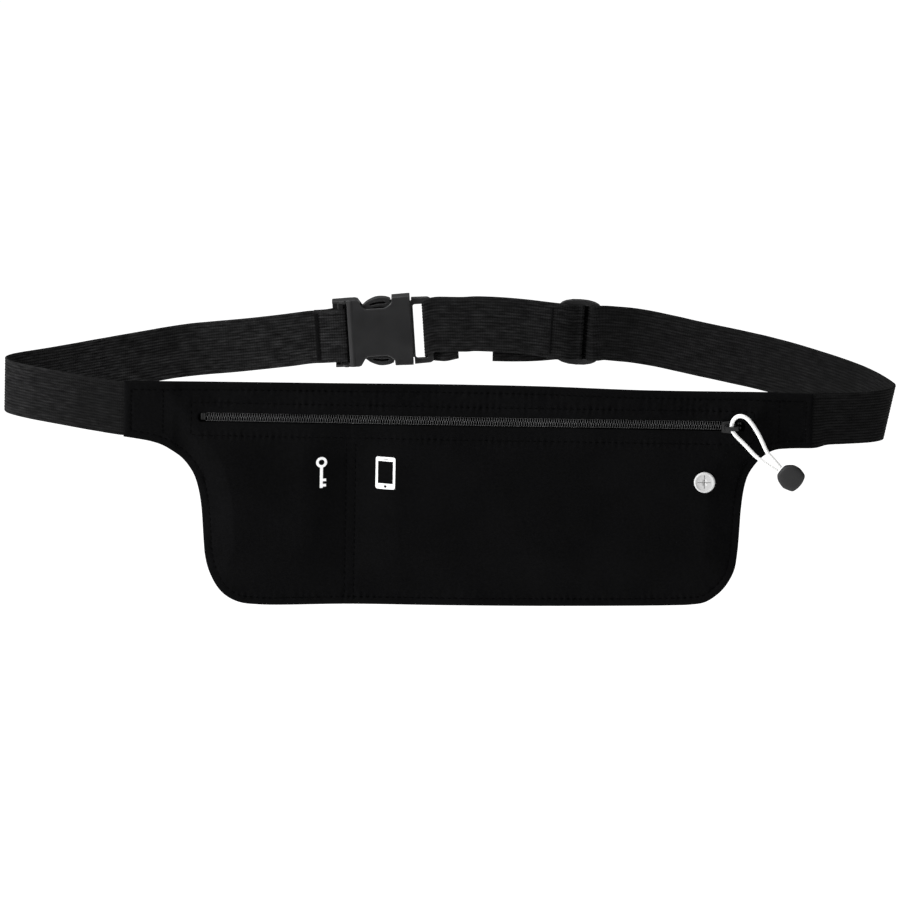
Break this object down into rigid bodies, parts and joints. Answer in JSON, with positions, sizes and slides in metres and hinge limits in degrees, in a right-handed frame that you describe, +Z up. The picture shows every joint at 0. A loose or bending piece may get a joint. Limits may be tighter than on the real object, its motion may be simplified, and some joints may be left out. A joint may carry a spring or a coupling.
{
  "type": "money belt",
  "caption": "Flat zipped waist pouch with key and phone pockets on an elastic belt with a slide adjuster and side-release buckle.",
  "frame": {"origin": "middle of the waist loop, at the height of the middle of the pouch webbing", "axes": "+X along the pouch from the key pocket to the zip pull end, +Y from the pouch to the small of the back, +Z up"},
  "size_m": [0.4283, 0.1378, 0.125],
  "materials": {
    "knit_fabric": "matte stretch knit",
    "webbing": "ribbed elastic webbing",
    "acetal": "satin moulded",
    "coil": "nylon coil",
    "enamel": "black enamel",
    "cord": "braided cord",
    "tip_rubber": "matte moulded",
    "eyelet_rubber": "matte moulded",
    "print": "screen print",
    "thread": "sewing thread"
  },
  "bodies": {
    "belt": {"pouch_back_panel": "knit_fabric", "pouch_front_panel": "knit_fabric", "zip_tape_upper": "knit_fabric", "zip_tape_lower": "knit_fabric", "zip_coil_upper": "coil", "zip_coil_lower": "coil", "zip_stop_left": "enamel", "zip_stop_right_upper": "enamel", "zip_stop_right_lower": "enamel", "eyelet_front": "eyelet_rubber", "eyelet_back": "eyelet_rubber", "print_key": "print", "print_phone": "print", "pocket_seam_row_left": "thread", "pocket_seam_row_right": "thread", "buckle_housing": "acetal", "strap_left": "webbing", "strap_link": "webbing", "strap_right": "webbing", "tack_housing_fold": "thread", "tack_buckle_fold": "thread", "tack_glide_fold": "thread", "tack_wing_left": "thread", "tack_wing_right": "thread"},
    "slider": {"zip_slider": "enamel"},
    "pull": {"pull_cord": "cord", "pull_tip": "tip_rubber"},
    "insert": {"buckle_male": "acetal"},
    "prong_upper": {"buckle_prong_upper": "acetal"},
    "prong_lower": {"buckle_prong_lower": "acetal"},
    "adjuster": {"tri_glide": "acetal"}
  },
  "joints": [
    {"name": "zip_slide", "type": "slide", "parent": "belt", "child": "slider", "axis": [-1, 0, 0], "range_m": [0, 0.242], "deforming": ["zip_coil_upper", "zip_coil_lower", "zip_tape_upper", "zip_tape_lower"]},
    {"name": "pull_lift", "type": "hinge", "parent": "slider", "child": "pull", "pos_m": [0.1352, -0.0716, -0.0024], "axis": [-0.7071, 0, -0.7071], "range_deg": [0, 110], "deforming": ["pull_cord"]},
    {"name": "buckle_release", "type": "slide", "parent": "belt", "child": "insert", "axis": [0.9969, 0, 0.0785], "range_m": [0, 0.03], "deforming": ["buckle_prong_upper", "buckle_prong_lower", "strap_link", "tack_buckle_fold"]},
    {"name": "prong_upper_flex", "type": "hinge", "parent": "insert", "child": "prong_upper", "pos_m": [-0.02285, 0.059, 0.02316], "axis": [0, -1, 0], "range_deg": [0, 9], "stiffness_Nm_per_rad": 0.3},
    {"name": "prong_lower_flex", "type": "hinge", "parent": "insert", "child": "prong_lower", "pos_m": [-0.02105, 0.059, 0.00023], "axis": [0, 1, 0], "range_deg": [0, 9], "stiffness_Nm_per_rad": 0.3},
    {"name": "adjuster_slide", "type": "slide", "parent": "belt", "child": "adjuster", "axis": [0.9987, 0, -0.0506], "range_m": [-0.012, 0.02], "deforming": ["strap_link", "strap_right", "tack_glide_fold"]}
  ]
}
